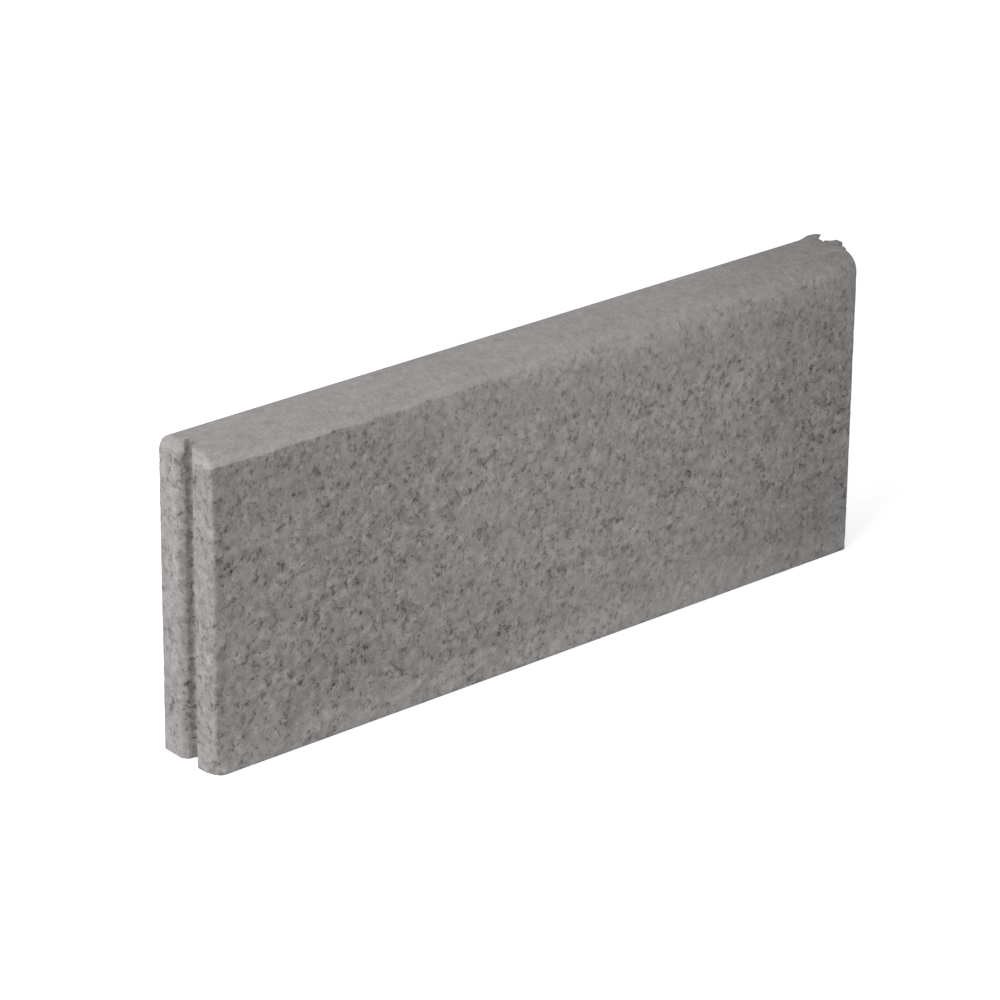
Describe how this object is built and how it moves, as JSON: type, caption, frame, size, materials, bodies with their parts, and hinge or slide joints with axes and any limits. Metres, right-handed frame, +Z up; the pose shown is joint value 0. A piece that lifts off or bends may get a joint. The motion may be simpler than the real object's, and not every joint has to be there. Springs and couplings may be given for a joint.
{
  "type": "concrete kerb stone",
  "caption": "Rectangular concrete kerb stone with rounded top edges, a tongue end and a matching groove end, laid end to end as path or lawn edging.",
  "frame": {"origin": "middle of the laid length and of the thickness, on the flat underside that the kerb stands on", "axes": "+X along the laid row towards the tongue end, +Y through the thickness, +Z up towards the rounded top"},
  "size_m": [0.5075, 0.05, 0.2],
  "materials": {
    "pressed_concrete": "matt grey pressed concrete with fine open pores"
  },
  "bodies": {
    "root": {"kerb_stone": "pressed_concrete"}
  },
  "joints": []
}
